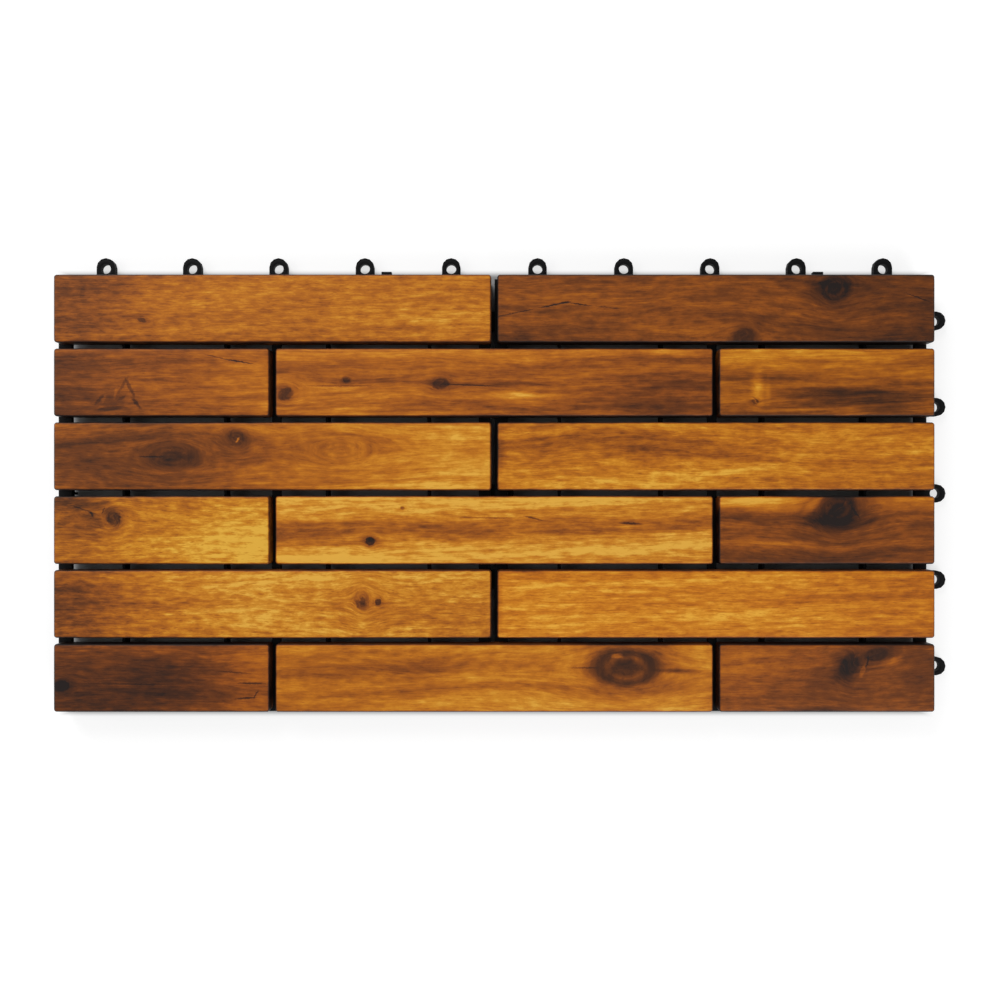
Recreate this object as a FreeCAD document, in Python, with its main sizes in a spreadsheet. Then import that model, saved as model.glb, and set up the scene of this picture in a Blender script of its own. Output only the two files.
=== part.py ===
import FreeCAD, Part
import os
import re
import Sketcher

# Interlocking deck tile: fifteen boards in a running bond, screwed from below to two
# equal moulded grids that clip together under the middle of the tile.
# Millimetres. X runs along the boards, Y across them, and Z up from the ground.

ROWS = 6
LOOPS_PER_SIDE = 5
RIBS = 4
LOOP_SIDES = 12
HEAD_SIDES = 6
SHANK_SIDES = 6

SIZES = [
    # the tile and its boards
    ("grid_pitch", 300),
    ("board_gap", 4),
    ("board_thick", 12),
    ("board_corner", 2.2),
    ("board_arris", 1.2),
    # the frame of a grid: a flange over the pegs, and a wall behind the loops
    ("base_height", 12),
    ("band_thick", 3.5),
    ("flange_inset", 0.2),
    ("flange_width", 9),
    ("rim_recess", 2.7),
    ("rim_width", 8),
    ("rim_wall", 2.5),
    ("rim_lift", 1.5),
    # the lattice inside the frame
    ("rib_spacing", 70),
    ("rib_thick", 2),
    ("rib_lift", 3),
    ("joint_bar_width", 6),
    ("board_bar_width", 12),
    ("foot_width", 12),
    # the loops, the pegs, and the channel that a neighbour's loops slide into
    ("loop_reach", 13.5),
    ("loop_radius", 6.4),
    ("loop_low", 1),
    ("loop_thick", 4.5),
    ("peg_inset", 6),
    ("peg_radius", 3.05),
    ("peg_web", 1.8),
    ("peg_low", 1.5),
    ("peg_clearance", 0.4),
    ("tip_clearance", 0.5),
    ("channel_clearance", 1),
    ("nub_width", 7),
    ("nub_reach", 4),
    # the screws and their holes
    ("screw_inset", 25),
    ("head_radius", 3.7),
    ("head_thick", 1.8),
    ("shank_radius", 1.8),
    ("shank_length", 12.5),
    ("hole_clearance", 0.3),
    ("pilot_clearance", 0.1),
    ("pilot_spare", 0.5),
    # how far a cut starts outside the material
    ("overshoot", 1),
]

# Lengths that follow from the sizes, as expressions in the same names.
HALF = "(grid_pitch / 2)"
ROW_PITCH = f"(grid_pitch / {ROWS})"
LOOP_PITCH = f"(grid_pitch / {LOOPS_PER_SIDE})"
BAND_LOW = "(base_height - band_thick)"
FLANGE_EDGE = f"({HALF} - flange_inset)"
RIM_EDGE = f"({HALF} - rim_recess)"
WALL_FACE = f"({RIM_EDGE} - rim_wall)"
CHANNEL_DEPTH = "(loop_reach + tip_clearance)"
CHANNEL_TOP = "(loop_low + loop_thick + channel_clearance)"
FIRST_ROW = f"({HALF} - {ROW_PITCH} / 2)"
FIRST_LOOP = f"({HALF} - {LOOP_PITCH} / 2)"
FIRST_RIB = f"(rib_spacing * {(RIBS - 1) / 2})"
CELL_SHIFT = "(-(loop_reach + flange_inset) / 2)"

doc = FreeCAD.newDocument("deck_tile")
sheet = doc.addObject("Spreadsheet::Sheet", "Sizes")
for line, (alias, value) in enumerate(SIZES, start=1):
    sheet.set(f"A{line}", alias)
    sheet.set(f"B{line}", str(value))
    sheet.setAlias(f"B{line}", alias)
doc.recompute()


def bind(thing, path, text):
    """Bind one property to an expression whose words are the sheet's aliases."""
    thing.setExpression(path, re.sub(r"[a-z]\w*", lambda word: f"Sizes.{word.group()}", text))


def new_body(label, x, y, z):
    body = doc.addObject("PartDesign::Body", label)
    body.Label = label
    bind(body, "Placement.Base.x", x)
    bind(body, "Placement.Base.y", y)
    bind(body, "Placement.Base.z", z)
    return body


def new_sketch(body, name, x, y, z):
    """A sketch on the body's ground plane, with its own zero at x, y, z."""
    sketch = body.newObject("Sketcher::SketchObject", name)
    plane = next(f for f in body.Origin.OriginFeatures if f.Role == "XY_Plane")
    sketch.AttachmentSupport = (plane, [""])
    sketch.MapMode = "FlatFace"
    bind(sketch, "AttachmentOffset.Base.x", x)
    bind(sketch, "AttachmentOffset.Base.y", y)
    bind(sketch, "AttachmentOffset.Base.z", z)
    return sketch


def add_rectangle(sketch, width, depth, x="0", y="0"):
    """A rectangle whose low corner lies at x, y from the sketch's zero."""
    start = sketch.GeometryCount
    corners = [FreeCAD.Vector(*c, 0) for c in ((1, 1), (9, 1), (9, 9), (1, 9))]
    for k in range(4):
        sketch.addGeometry(Part.LineSegment(corners[k], corners[(k + 1) % 4]), False)
    for k in range(4):
        sketch.addConstraint(Sketcher.Constraint("Coincident", start + k, 2, start + (k + 1) % 4, 1))
        kind = "Vertical" if k % 2 else "Horizontal"
        sketch.addConstraint(Sketcher.Constraint(kind, start + k))
    measures = (
        ("DistanceX", (start, 1, start, 2), width),
        ("DistanceY", (start + 1, 1, start + 1, 2), depth),
        ("DistanceX", (-1, 1, start, 1), x),
        ("DistanceY", (-1, 1, start, 1), y),
    )
    for kind, points, text in measures:
        if text == "0":
            axis = -2 if kind == "DistanceX" else -1
            sketch.addConstraint(Sketcher.Constraint("PointOnObject", start, 1, axis))
        else:
            number = sketch.addConstraint(Sketcher.Constraint(kind, *points, 8.0))
            bind(sketch, f"Constraints[{number}]", text)


def add_polygon(sketch, sides, radius):
    """A regular polygon round the sketch's zero, with one corner on the side of +X."""
    upright = FreeCAD.Vector(0, 0, 1)
    turn = FreeCAD.Rotation(upright, 360 / sides)
    corner = FreeCAD.Vector(2, 0, 0)
    for k in range(sides):
        following = turn.multVec(corner)
        sketch.addGeometry(Part.LineSegment(corner, following), False)
        corner = following
    circle = sketch.addGeometry(Part.Circle(FreeCAD.Vector(), upright, 2), True)
    for k in range(sides):
        sketch.addConstraint(Sketcher.Constraint("Coincident", k, 2, (k + 1) % sides, 1))
        sketch.addConstraint(Sketcher.Constraint("PointOnObject", k, 1, circle))
    for k in range(1, sides):
        sketch.addConstraint(Sketcher.Constraint("Equal", 0, k))
    sketch.addConstraint(Sketcher.Constraint("PointOnObject", 0, 1, -1))
    sketch.addConstraint(Sketcher.Constraint("Coincident", circle, 3, -1, 1))
    number = sketch.addConstraint(Sketcher.Constraint("Radius", circle, 2.0))
    bind(sketch, f"Constraints[{number}]", radius)


def pad(body, sketch, height):
    solid = body.newObject("PartDesign::Pad", sketch.Name + "_pad")
    solid.Profile = sketch
    solid.Refine = True
    bind(solid, "Length", height)
    return solid


def pocket(body, sketch, depth):
    """A cut upwards from the sketch."""
    hole = body.newObject("PartDesign::Pocket", sketch.Name + "_cut")
    hole.Profile = sketch
    hole.Reversed = True
    bind(hole, "Length", depth)
    return hole


def pair(body, feature, apart):
    """The feature, and a copy of it further along +X."""
    axis = next(f for f in body.Origin.OriginFeatures if f.Role == "X_Axis")
    pattern = body.newObject("PartDesign::LinearPattern", feature.Name + "_pair")
    pattern.Originals = [feature]
    pattern.Direction = (axis, [""])
    pattern.Occurrences = 2
    bind(pattern, "Length", apart)
    body.Tip = pattern
    return pattern


def place(thing, x, y, z):
    bind(thing, "Placement.Base.x", x)
    bind(thing, "Placement.Base.y", y)
    bind(thing, "Placement.Base.z", z)
    return thing


def block(name, corner, size):
    """A box by its low corner and its size."""
    solid = doc.addObject("Part::Box", name)
    bind(solid, "Length", size[0])
    bind(solid, "Width", size[1])
    bind(solid, "Height", size[2])
    return place(solid, *corner)


def disc(name, centre, radius, height):
    solid = doc.addObject("Part::Cylinder", name)
    bind(solid, "Radius", radius)
    bind(solid, "Height", height)
    return place(solid, *centre)


def prism(name, sides, centre, radius, height):
    solid = doc.addObject("Part::Prism", name)
    solid.Polygon = sides
    bind(solid, "Circumradius", radius)
    bind(solid, "Height", height)
    return place(solid, *centre)


def join(name, pieces):
    whole = doc.addObject("Part::MultiFuse", name)
    whole.Shapes = pieces
    whole.Refine = True
    return whole


def cut(name, solid, tool):
    result = doc.addObject("Part::Cut", name)
    result.Base = solid
    result.Tool = tool
    result.Refine = True
    return result


def gather(name, pieces):
    group = doc.addObject("Part::Compound", name)
    group.Links = pieces
    return group


def steps(first, pitch, count):
    """Places along a line, as expressions."""
    return [f"({first} + {pitch} * {k})" for k in range(count)]


LOOP_LINE = steps(f"-{FIRST_LOOP}", LOOP_PITCH, LOOPS_PER_SIDE)
ROW_LINE = steps(f"-{FIRST_ROW}", ROW_PITCH, ROWS)
RIB_LINE = steps(f"-{FIRST_RIB}", "rib_spacing", RIBS)
END_HOLES = [f"(screw_inset - {HALF})", f"({HALF} - screw_inset)"]
MIDDLE_HOLES = ["(-screw_inset)", "screw_inset"]


def frame_blocks():
    """The flat band round the grid, and the upright wall on its two loop sides."""
    low, span = f"-{FLANGE_EDGE}", f"{FLANGE_EDGE} + {RIM_EDGE}"
    band = f"{RIM_EDGE} - rim_width"
    wall_height = f"{BAND_LOW} - rim_lift"
    return [
        block("west_flange", (low, low, BAND_LOW), ("flange_width", span, "band_thick")),
        block("south_flange", (low, low, BAND_LOW), (span, "flange_width", "band_thick")),
        block("east_band", (band, low, BAND_LOW), ("rim_width", span, "band_thick")),
        block("north_band", (low, band, BAND_LOW), (span, "rim_width", "band_thick")),
        block("east_wall", (WALL_FACE, low, "rim_lift"), ("rim_wall", span, wall_height)),
        block("north_wall", (low, WALL_FACE, "rim_lift"), (span, "rim_wall", wall_height)),
    ]


def lattice_blocks():
    """Ribs across the boards, flat bars under each row of boards, and the feet."""
    low, length = f"-{FLANGE_EDGE}", f"{FLANGE_EDGE} + {WALL_FACE}"
    rib_size = ("rib_thick", length, "base_height - rib_lift")
    blocks = [block("joint_bar", ("-joint_bar_width / 2", low, BAND_LOW),
                    ("joint_bar_width", length, "band_thick"))]
    for x in RIB_LINE:
        blocks.append(block("rib", (f"{x} - rib_thick / 2", low, "rib_lift"), rib_size))
    for k, y in enumerate(ROW_LINE):
        blocks.append(block("board_bar", (low, f"{y} - board_bar_width / 2", BAND_LOW),
                            (length, "board_bar_width", "band_thick")))
        for x in [RIB_LINE[0], RIB_LINE[-1]] + (["0"] if k % 2 == 0 else []):
            blocks.append(block("foot", (f"{x} - foot_width / 2", f"{y} - foot_width / 2", "0"),
                                ("foot_width", "foot_width", "base_height")))
    return blocks


def channel_blocks():
    """Room under the flange for the loops of the next tile."""
    start, length = f"-{HALF} - overshoot", f"{WALL_FACE} + {HALF} + overshoot"
    depth, height = f"{CHANNEL_DEPTH} + overshoot", f"{CHANNEL_TOP} + overshoot"
    return [
        block("west_channel", (start, start, "-overshoot"), (depth, length, height)),
        block("south_channel", (start, start, "-overshoot"), (length, depth, height)),
    ]


def screw_places():
    """Places of a grid's screws: near its sides in each row, and round its middle in every other row."""
    places = []
    for k, y in enumerate(ROW_LINE):
        for x in END_HOLES + (MIDDLE_HOLES if k % 2 == 0 else []):
            places.append((x, y))
    return places


def screw_rooms():
    """Room for a screw's head from the ground up, through whatever rib or foot stands there."""
    rooms = []
    for x, y in screw_places():
        rooms.append(prism("screw_room", HEAD_SIDES, (x, y, "-overshoot"),
                           "head_radius + hole_clearance", f"{BAND_LOW} + overshoot"))
    return rooms


def peg_blocks():
    """Cross-shaped pegs that hang from the flange into the next tile's loops."""
    line = f"(peg_inset - {HALF})"
    wide, thin, height = "2 * peg_radius", "peg_web", "base_height - peg_low"
    blocks = []
    for x, y in [(line, y) for y in LOOP_LINE] + [(x, line) for x in LOOP_LINE]:
        along = (f"{x} - peg_radius", f"{y} - peg_web / 2", "peg_low")
        across = (f"{x} - peg_web / 2", f"{y} - peg_radius", "peg_low")
        blocks.append(block("peg", along, (wide, thin, height)))
        blocks.append(block("peg", across, (thin, wide, height)))
    return blocks


def loop_blocks():
    """Round-ended tabs that stand out of the walls, low down."""
    far = f"({HALF} + loop_reach - loop_radius)"
    out, width = f"{far} - {WALL_FACE}", "2 * loop_radius"
    end = ("loop_radius", "loop_thick")
    blocks = []
    for middle in LOOP_LINE:
        side = f"{middle} - loop_radius"
        blocks.append(block("east_tab", (WALL_FACE, side, "loop_low"), (out, width, "loop_thick")))
        blocks.append(prism("east_end", LOOP_SIDES, (far, middle, "loop_low"), *end))
        blocks.append(block("north_tab", (side, WALL_FACE, "loop_low"), (width, out, "loop_thick")))
        blocks.append(prism("north_end", LOOP_SIDES, (middle, far, "loop_low"), *end))
    return blocks


def nub_blocks():
    """A small stop among the loops of each side, which slides under the next tile's flange."""
    start = "grid_pitch / 4 - nub_width / 2"
    reach = "rim_recess + rim_wall + nub_reach"
    height = "loop_low + loop_thick - rim_lift"
    return [
        block("east_nub", (WALL_FACE, start, "rim_lift"), (reach, "nub_width", height)),
        block("north_nub", (start, WALL_FACE, "rim_lift"), ("nub_width", reach, height)),
    ]


def hole_tools():
    """Round holes in the loops, and the screws' holes in the board bars."""
    line = f"({HALF} + peg_inset)"
    radius, height = "peg_radius + peg_clearance", "loop_thick + 2 * overshoot"
    tools = []
    for x, y in [(line, y) for y in LOOP_LINE] + [(x, line) for x in LOOP_LINE]:
        tools.append(disc("loop_hole", (x, y, "loop_low - overshoot"), radius, height))
    for x, y in screw_places():
        tools.append(prism("screw_hole", SHANK_SIDES, (x, y, f"{BAND_LOW} - overshoot"),
                           "shank_radius + hole_clearance", "band_thick + 2 * overshoot"))
    return tools


def make_grid(label):
    """One moulded grid round its own middle. A row of loops on the east and north, pegs on the others."""
    lattice = join("frame_and_lattice", frame_blocks() + lattice_blocks())
    cleared = cut("cleared_lattice", lattice, gather("rooms", channel_blocks() + screw_rooms()))
    solid = join("solid_grid", [cleared] + peg_blocks() + loop_blocks() + nub_blocks())
    grid = cut(label, solid, gather("holes", hole_tools()))
    grid.Label = label
    return grid


def edges_of(feature, wanted):
    """Names of the feature's edges for which wanted(edge) holds."""
    return [f"Edge{k}" for k, edge in enumerate(feature.Shape.Edges, start=1) if wanted(edge)]


def is_upright(edge):
    low, high = edge.Vertexes[0].Point, edge.Vertexes[-1].Point
    return abs(low.x - high.x) + abs(low.y - high.y) < abs(low.z - high.z) / 100


def make_board(label, x, y, length, pairs):
    """One board with eased corners and upper edges, and pairs of pilot holes in its underside."""
    body = new_body(label, x, y, "base_height")
    width = f"({ROW_PITCH} - board_gap)"
    outline = new_sketch(body, "outline", "0", "0", "0")
    add_rectangle(outline, length, width)
    blank = pad(body, outline, "board_thick")
    doc.recompute()
    corners = body.newObject("PartDesign::Chamfer", "corners")
    corners.Base = (blank, edges_of(blank, is_upright))
    bind(corners, "Size", "board_corner")
    doc.recompute()
    top = corners.Shape.BoundBox.ZMax
    arris = body.newObject("PartDesign::Chamfer", "arris")
    arris.Base = (corners, edges_of(corners, lambda edge: edge.BoundBox.ZMin > top - 1e-6))
    bind(arris, "Size", "board_arris")
    radius = "shank_radius + pilot_clearance"
    depth = "shank_length - band_thick + pilot_spare"
    for first, second in pairs:
        pilot = new_sketch(body, "pilot", first, f"{width} / 2", "0")
        add_polygon(pilot, SHANK_SIDES, radius)
        pair(body, pocket(body, pilot, depth), f"{second} - {first}")
    return body


def make_screw(name, x, y):
    """A pan-head screw, point up, with its head under a board bar. It is drawn with few faces."""
    head_low = f"{BAND_LOW} - head_thick"
    head = prism(f"{name}_head", HEAD_SIDES, (x, y, head_low), "head_radius", "head_thick")
    shank = prism(f"{name}_shank", SHANK_SIDES, (x, y, BAND_LOW), "shank_radius", "shank_length")
    return join(name, [head, shank])


left_grid = place(make_grid("base_grid_left"), f"{CELL_SHIFT} - {HALF}", CELL_SHIFT, "0")
right_grid = place(gather("base_grid_right", [left_grid]), "grid_pitch", "0", "0")
parts = [left_grid, right_grid]

END_SCREW = "(screw_inset - board_gap / 2)"
LONG = "(grid_pitch - board_gap)"
SHORT = f"({HALF} - board_gap)"
END_PAIR = (END_SCREW, f"({LONG} - {END_SCREW})")
MIDDLE_PAIR = (f"({LONG} / 2 - screw_inset)", f"({LONG} / 2 + screw_inset)")
SHORT_PAIR = (END_SCREW, f"({SHORT} - {END_SCREW})")

# Each board of a row: its name, where its cell starts from the tile's middle, its length and the
# pairs of screws along it. Odd rows have two long boards; even rows a long one between two short.
ODD_ROW = [
    ("left", "-grid_pitch", LONG, [END_PAIR]),
    ("right", "0", LONG, [END_PAIR]),
]
EVEN_ROW = [
    ("left", "-grid_pitch", SHORT, [SHORT_PAIR]),
    ("middle", f"-{HALF}", LONG, [END_PAIR, MIDDLE_PAIR]),
    ("right", HALF, SHORT, [SHORT_PAIR]),
]

for row in range(1, ROWS + 1):
    row_middle = f"({FIRST_ROW} - {ROW_PITCH} * {row - 1})"
    board_low = f"{CELL_SHIFT} + {row_middle} - ({ROW_PITCH} - board_gap) / 2"
    screws = []
    for name, start, length, pairs in ODD_ROW if row % 2 else EVEN_ROW:
        board_start = f"{start} + board_gap / 2"
        board_label = f"board_row{row}_{name}"
        parts.append(make_board(board_label, f"{CELL_SHIFT} + {board_start}", board_low, length, pairs))
        for along in [along for two in pairs for along in two]:
            screw_name = f"screw_{row}_{len(screws) + 1}"
            screw_x = f"{CELL_SHIFT} + {board_start} + {along}"
            screws.append(make_screw(screw_name, screw_x, f"{CELL_SHIFT} + {row_middle}"))
    parts.append(gather(f"screws_row{row}", screws))

doc.recompute()

for thing in doc.Objects:
    if "Invalid" in thing.State or "Error" in thing.State:
        raise RuntimeError(f"{thing.Label} did not compute: {thing.State}")
for part in parts:
    if part.Shape.isNull() or not part.Shape.isValid():
        raise RuntimeError(f"{part.Label} has no valid shape")

os.makedirs("parts", exist_ok=True)
for part in parts:
    part.Shape.exportStep(f"parts/{part.Label}.step")
    print(part.Label, len(part.Shape.Solids), "solids", round(part.Shape.Volume, 1), "mm3")
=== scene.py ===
"""An interlocking deck tile: oiled acacia boards in a running bond on two moulded black grids."""

import math

import bmesh
import bpy
from mathutils import Matrix, Vector, noise


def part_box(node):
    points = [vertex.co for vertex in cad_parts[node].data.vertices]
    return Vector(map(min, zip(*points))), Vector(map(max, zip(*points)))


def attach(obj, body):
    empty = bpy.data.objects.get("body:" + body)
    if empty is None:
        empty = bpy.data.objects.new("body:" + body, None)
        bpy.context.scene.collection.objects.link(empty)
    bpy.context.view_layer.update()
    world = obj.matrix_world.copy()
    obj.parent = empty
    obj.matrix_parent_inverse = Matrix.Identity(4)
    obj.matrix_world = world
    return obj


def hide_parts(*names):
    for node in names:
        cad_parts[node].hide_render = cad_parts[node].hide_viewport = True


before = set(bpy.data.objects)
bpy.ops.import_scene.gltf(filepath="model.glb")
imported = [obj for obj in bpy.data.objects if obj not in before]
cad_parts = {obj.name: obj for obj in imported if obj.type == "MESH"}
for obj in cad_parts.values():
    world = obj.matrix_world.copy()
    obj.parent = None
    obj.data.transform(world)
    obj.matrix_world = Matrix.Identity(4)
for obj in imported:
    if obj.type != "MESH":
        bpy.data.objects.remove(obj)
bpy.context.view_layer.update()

MM = 0.001
PER_METRE = 1000                     # millimetres, for patterns on Object coordinates
CELL = Vector((-6.85, -6.85, 0))     # middle of the 600 by 300 mm cell that the tile fills, in mm
BASE_TOP = 12.0                      # top of the grids and underside of the boards
TILE_TOP = 24.0


# Colour and node helpers

def linear(code):
    """An sRGB hex colour as linear red, green, blue and alpha."""
    channels = [int(code[k:k + 2], 16) / 255 for k in (1, 3, 5)]
    return [c / 12.92 if c <= 0.04045 else ((c + 0.055) / 1.055) ** 2.4 for c in channels] + [1]


def grey(level):
    """A grey of that level, for a ramp that gives a number."""
    return (level, level, level, 1)


def add(tree, kind, links=None, **settings):
    """Adds a node with its settings, and links or fills its inputs."""
    node = tree.nodes.new(kind)
    for key, value in settings.items():
        setattr(node, key, value)
    for key, value in (links or {}).items():
        if isinstance(value, bpy.types.NodeSocket):
            tree.links.new(value, node.inputs[key])
        else:
            node.inputs[key].default_value = value
    return node


def fill_ramp(node, stops):
    """Gives a colour ramp its stops: (place, colour) pairs in rising order."""
    elements = node.color_ramp.elements
    elements[0].position, elements[0].color = stops[0]
    elements[1].position, elements[1].color = stops[-1]
    for place, shade in stops[1:-1]:
        elements.new(place).color = shade
    return node


def new_material(name):
    """A material with an empty node tree."""
    material = bpy.data.materials.new(name)
    material.use_nodes = True
    tree = material.node_tree
    tree.nodes.clear()
    return material, tree


# Acacia

# Oiled acacia runs from near-black round its knots, over red-brown heartwood, to amber and
# straw-gold sapwood. One ramp serves all the boards, so they look cut from the same timber.
ACACIA_TONES = [
    (0.00, "#140a07"), (0.17, "#3d200e"), (0.27, "#552d12"), (0.38, "#6d3a15"), (0.50, "#8e4d19"),
    (0.62, "#ab611a"), (0.73, "#c2751d"), (0.84, "#d48d27"), (0.96, "#e8b044"),
]

GROWTH_BAND = 7.0        # mm between growth bands in fast-grown acacia
GRAIN_APART = 37.3       # between two seeds in the grain's noise, so that no boards share a figure
WANDER_APART = 91.7      # and in the noise of its wandering
WANDER = 9.0             # mm that the grain wanders sideways, where a board says nothing else
WANDER_RUN = (95.0, 28.0)    # mm along and across the board in which it does
TORN = (3.0, 1.3)        # mm by which the outlines of small marks are ragged, along and across
TORN_SCALE = 0.55        # and how finely, per mm
MARK_DEPTH = 400.0       # mm; a mark goes through the whole board
KNOT_PUSH = 1.6          # how far a knot turns the grain aside, in its own radii
KNOT_SOFT = 0.8          # keeps that even across its middle
KNOT_REACH = 2.5         # where a knot's dark halo ends, in its own half axes
RING_WAVE = 15.0         # radians of a knot's rings in each half axis
LARGE_KNOT = 7.0         # mm; from this radius on, a knot has a paler ring inside
EDGE_PAINTED_SHADE = -0.50        # painted shade: change of tone at the rounded edges and sawn sides
CHECK_RELIEF = 4.0       # how deep a check goes into the bump, for its darkness


def grain_group():
    """Grain of sawn acacia round a pith line that runs along X: growth bands, streaks, fibres and pores."""
    tree = bpy.data.node_groups.new("acacia_grain", "ShaderNodeTree")
    face = tree.interface
    for name, kind, value in (
        ("Flow", "NodeSocketVector", None), ("Seed", "NodeSocketFloat", 0.0),
        ("Pith across", "NodeSocketFloat", 10.0), ("Pith depth", "NodeSocketFloat", 30.0),
        ("Pith slope", "NodeSocketFloat", 0.05), ("Figure", "NodeSocketFloat", 0.5),
        ("Streaks", "NodeSocketFloat", 0.5), ("Fibres", "NodeSocketFloat", 0.3),
        ("Mottle", "NodeSocketFloat", 0.2), ("Pores", "NodeSocketFloat", 0.2),
    ):
        socket = face.new_socket(name, in_out="INPUT", socket_type=kind)
        if value is not None:
            socket.default_value = value
    for name in ("Tone", "Height"):
        face.new_socket(name, in_out="OUTPUT", socket_type="NodeSocketFloat")
    inp = add(tree, "NodeGroupInput").outputs
    seed = add(tree, "ShaderNodeMath", {0: inp["Seed"], 1: GRAIN_APART}, operation="MULTIPLY")
    shift = add(tree, "ShaderNodeCombineXYZ", {0: seed.outputs[0], 1: seed.outputs[0], 2: inp["Seed"]})
    split = add(tree, "ShaderNodeSeparateXYZ", {0: inp["Flow"]})

    # growth bands are rings round the pith, cut by the board's face
    lean = add(tree, "ShaderNodeMath", {0: split.outputs[0], 1: inp["Pith slope"], 2: inp["Pith across"]},
               operation="MULTIPLY_ADD")
    across = add(tree, "ShaderNodeMath", {0: split.outputs[1], 1: lean.outputs[0]}, operation="SUBTRACT")
    deep = add(tree, "ShaderNodeMath", {0: split.outputs[2], 1: inp["Pith depth"]}, operation="ADD")
    pair = add(tree, "ShaderNodeCombineXYZ", {0: across.outputs[0], 1: deep.outputs[0]})
    distance = add(tree, "ShaderNodeVectorMath", {0: pair.outputs[0]}, operation="LENGTH")
    rings = add(tree, "ShaderNodeMath", {
        0: distance.outputs["Value"], 1: 1 / GROWTH_BAND, 2: seed.outputs[0]}, operation="MULTIPLY_ADD")
    bands = add(tree, "ShaderNodeTexNoise", {"W": rings.outputs[0], "Scale": 1.0, "Detail": 4.0,
                                             "Roughness": 0.6}, noise_dimensions="1D")

    # length along the grain and width across it, in mm, and detail; fibres and pores are coarser
    # than the real ones, because these would be too fine to show in the render
    layers = {}
    for name, along, wide, detail in (
        ("slow", 130.0, 15.0, 2.0), ("streak", 48.0, 3.4, 4.0), ("fibre", 13.0, 1.0, 3.0),
        ("mottle", 9.0, 3.2, 4.0), ("pore", 4.5, 0.62, 1.0),
    ):
        scaled = add(tree, "ShaderNodeVectorMath", {0: inp["Flow"], 1: (1 / along, 1 / wide, 1 / wide),
                                                    2: shift.outputs[0]}, operation="MULTIPLY_ADD")
        layers[name] = add(tree, "ShaderNodeTexNoise", {
            "Vector": scaled.outputs[0], "Scale": 1.0, "Detail": detail, "Roughness": 0.6}).outputs["Fac"]
    pores = add(tree, "ShaderNodeMapRange", {"Value": layers["pore"], "From Min": 0.60, "From Max": 0.72,
                                             "To Min": 0.0, "To Max": -1.0})
    total = None
    for amount, source, middle in (
        (inp["Figure"], bands.outputs["Fac"], 0.5), (inp["Figure"], layers["slow"], 0.5),
        (inp["Streaks"], layers["streak"], 0.5), (inp["Fibres"], layers["fibre"], 0.5),
        (inp["Mottle"], layers["mottle"], 0.5), (inp["Pores"], pores.outputs[0], 0.0),
    ):
        swing = add(tree, "ShaderNodeMath", {0: source, 1: middle}, operation="SUBTRACT")
        links = {0: swing.outputs[0], 1: amount, 2: 0.0 if total is None else total}
        total = add(tree, "ShaderNodeMath", links, operation="MULTIPLY_ADD").outputs[0]
    height = add(tree, "ShaderNodeMath", {0: layers["fibre"], 1: pores.outputs[0]}, operation="ADD")
    add(tree, "NodeGroupOutput", {"Tone": total, "Height": height.outputs[0]})
    return tree


GRAIN = grain_group()


def in_ellipse(tree, place, x, y, half_length, half_width, turn):
    """The place in half axes of an ellipse on the board's face, and its length, which is 1 on the outline."""
    mapped = add(tree, "ShaderNodeMapping", {
        "Vector": place, "Location": (x, y, 0), "Rotation": (0, 0, math.radians(turn)),
        "Scale": (half_length, half_width, MARK_DEPTH)}, vector_type="TEXTURE").outputs[0]
    return mapped, add(tree, "ShaderNodeVectorMath", {0: mapped}, operation="LENGTH").outputs["Value"]


def soft_mark(tree, place, mark, rim, core):
    """How strong an elliptic mark is at a place: all at its core, and nothing at its rim, in half axes."""
    reach = in_ellipse(tree, place, *mark[:5])[1]
    return add(tree, "ShaderNodeMapRange", {"Value": reach, "From Min": rim, "From Max": core, "To Min": 0.0,
                                            "To Max": mark[5]}, interpolation_type="SMOOTHSTEP").outputs[0]


def knot(tree, place, bend, tone, x, y, radius, stretch, turn, dark, rings):
    """Turns the grain aside round a knot and darkens it, and gives the new bend and tone."""
    inside, reach = in_ellipse(tree, place, x, y, radius * stretch, radius, turn)
    square = add(tree, "ShaderNodeVectorMath", {0: inside, 1: inside}, operation="DOT_PRODUCT")
    side = add(tree, "ShaderNodeSeparateXYZ", {0: inside})
    soft = add(tree, "ShaderNodeMath", {0: square.outputs["Value"], 1: KNOT_SOFT}, operation="ADD")
    push = add(tree, "ShaderNodeMath", {0: side.outputs[1], 1: soft.outputs[0]}, operation="DIVIDE")
    bend = add(tree, "ShaderNodeMath", {0: push.outputs[0], 1: -KNOT_PUSH * radius, 2: bend},
               operation="MULTIPLY_ADD").outputs[0]

    ringed = radius > LARGE_KNOT
    out = add(tree, "ShaderNodeMath", {0: reach, 1: 1 / KNOT_REACH}, operation="MULTIPLY")
    halo = fill_ramp(add(tree, "ShaderNodeValToRGB", {0: out.outputs[0]}), [
        (0.0, grey(1.0)), (0.15, grey(0.9 if ringed else 1.0)), (0.23, grey(0.68 if ringed else 0.97)),
        (0.35, grey(0.95)), (0.46, grey(0.38)), (0.70, grey(0.12)), (1.0, grey(0.0))])
    tone = add(tree, "ShaderNodeMath", {0: halo.outputs[0], 1: -dark, 2: tone},
               operation="MULTIPLY_ADD").outputs[0]
    if rings:
        wave = add(tree, "ShaderNodeMath", {0: reach, 1: RING_WAVE}, operation="MULTIPLY")
        wave = add(tree, "ShaderNodeMath", {0: wave.outputs[0]}, operation="SINE")
        fade = add(tree, "ShaderNodeMapRange", {"Value": reach, "From Min": 0.6, "From Max": 2.0,
                                                "To Min": rings, "To Max": 0.0})
        tone = add(tree, "ShaderNodeMath", {0: wave.outputs[0], 1: fade.outputs[0], 2: tone},
                   operation="MULTIPLY_ADD").outputs[0]
    return bend, tone


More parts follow.
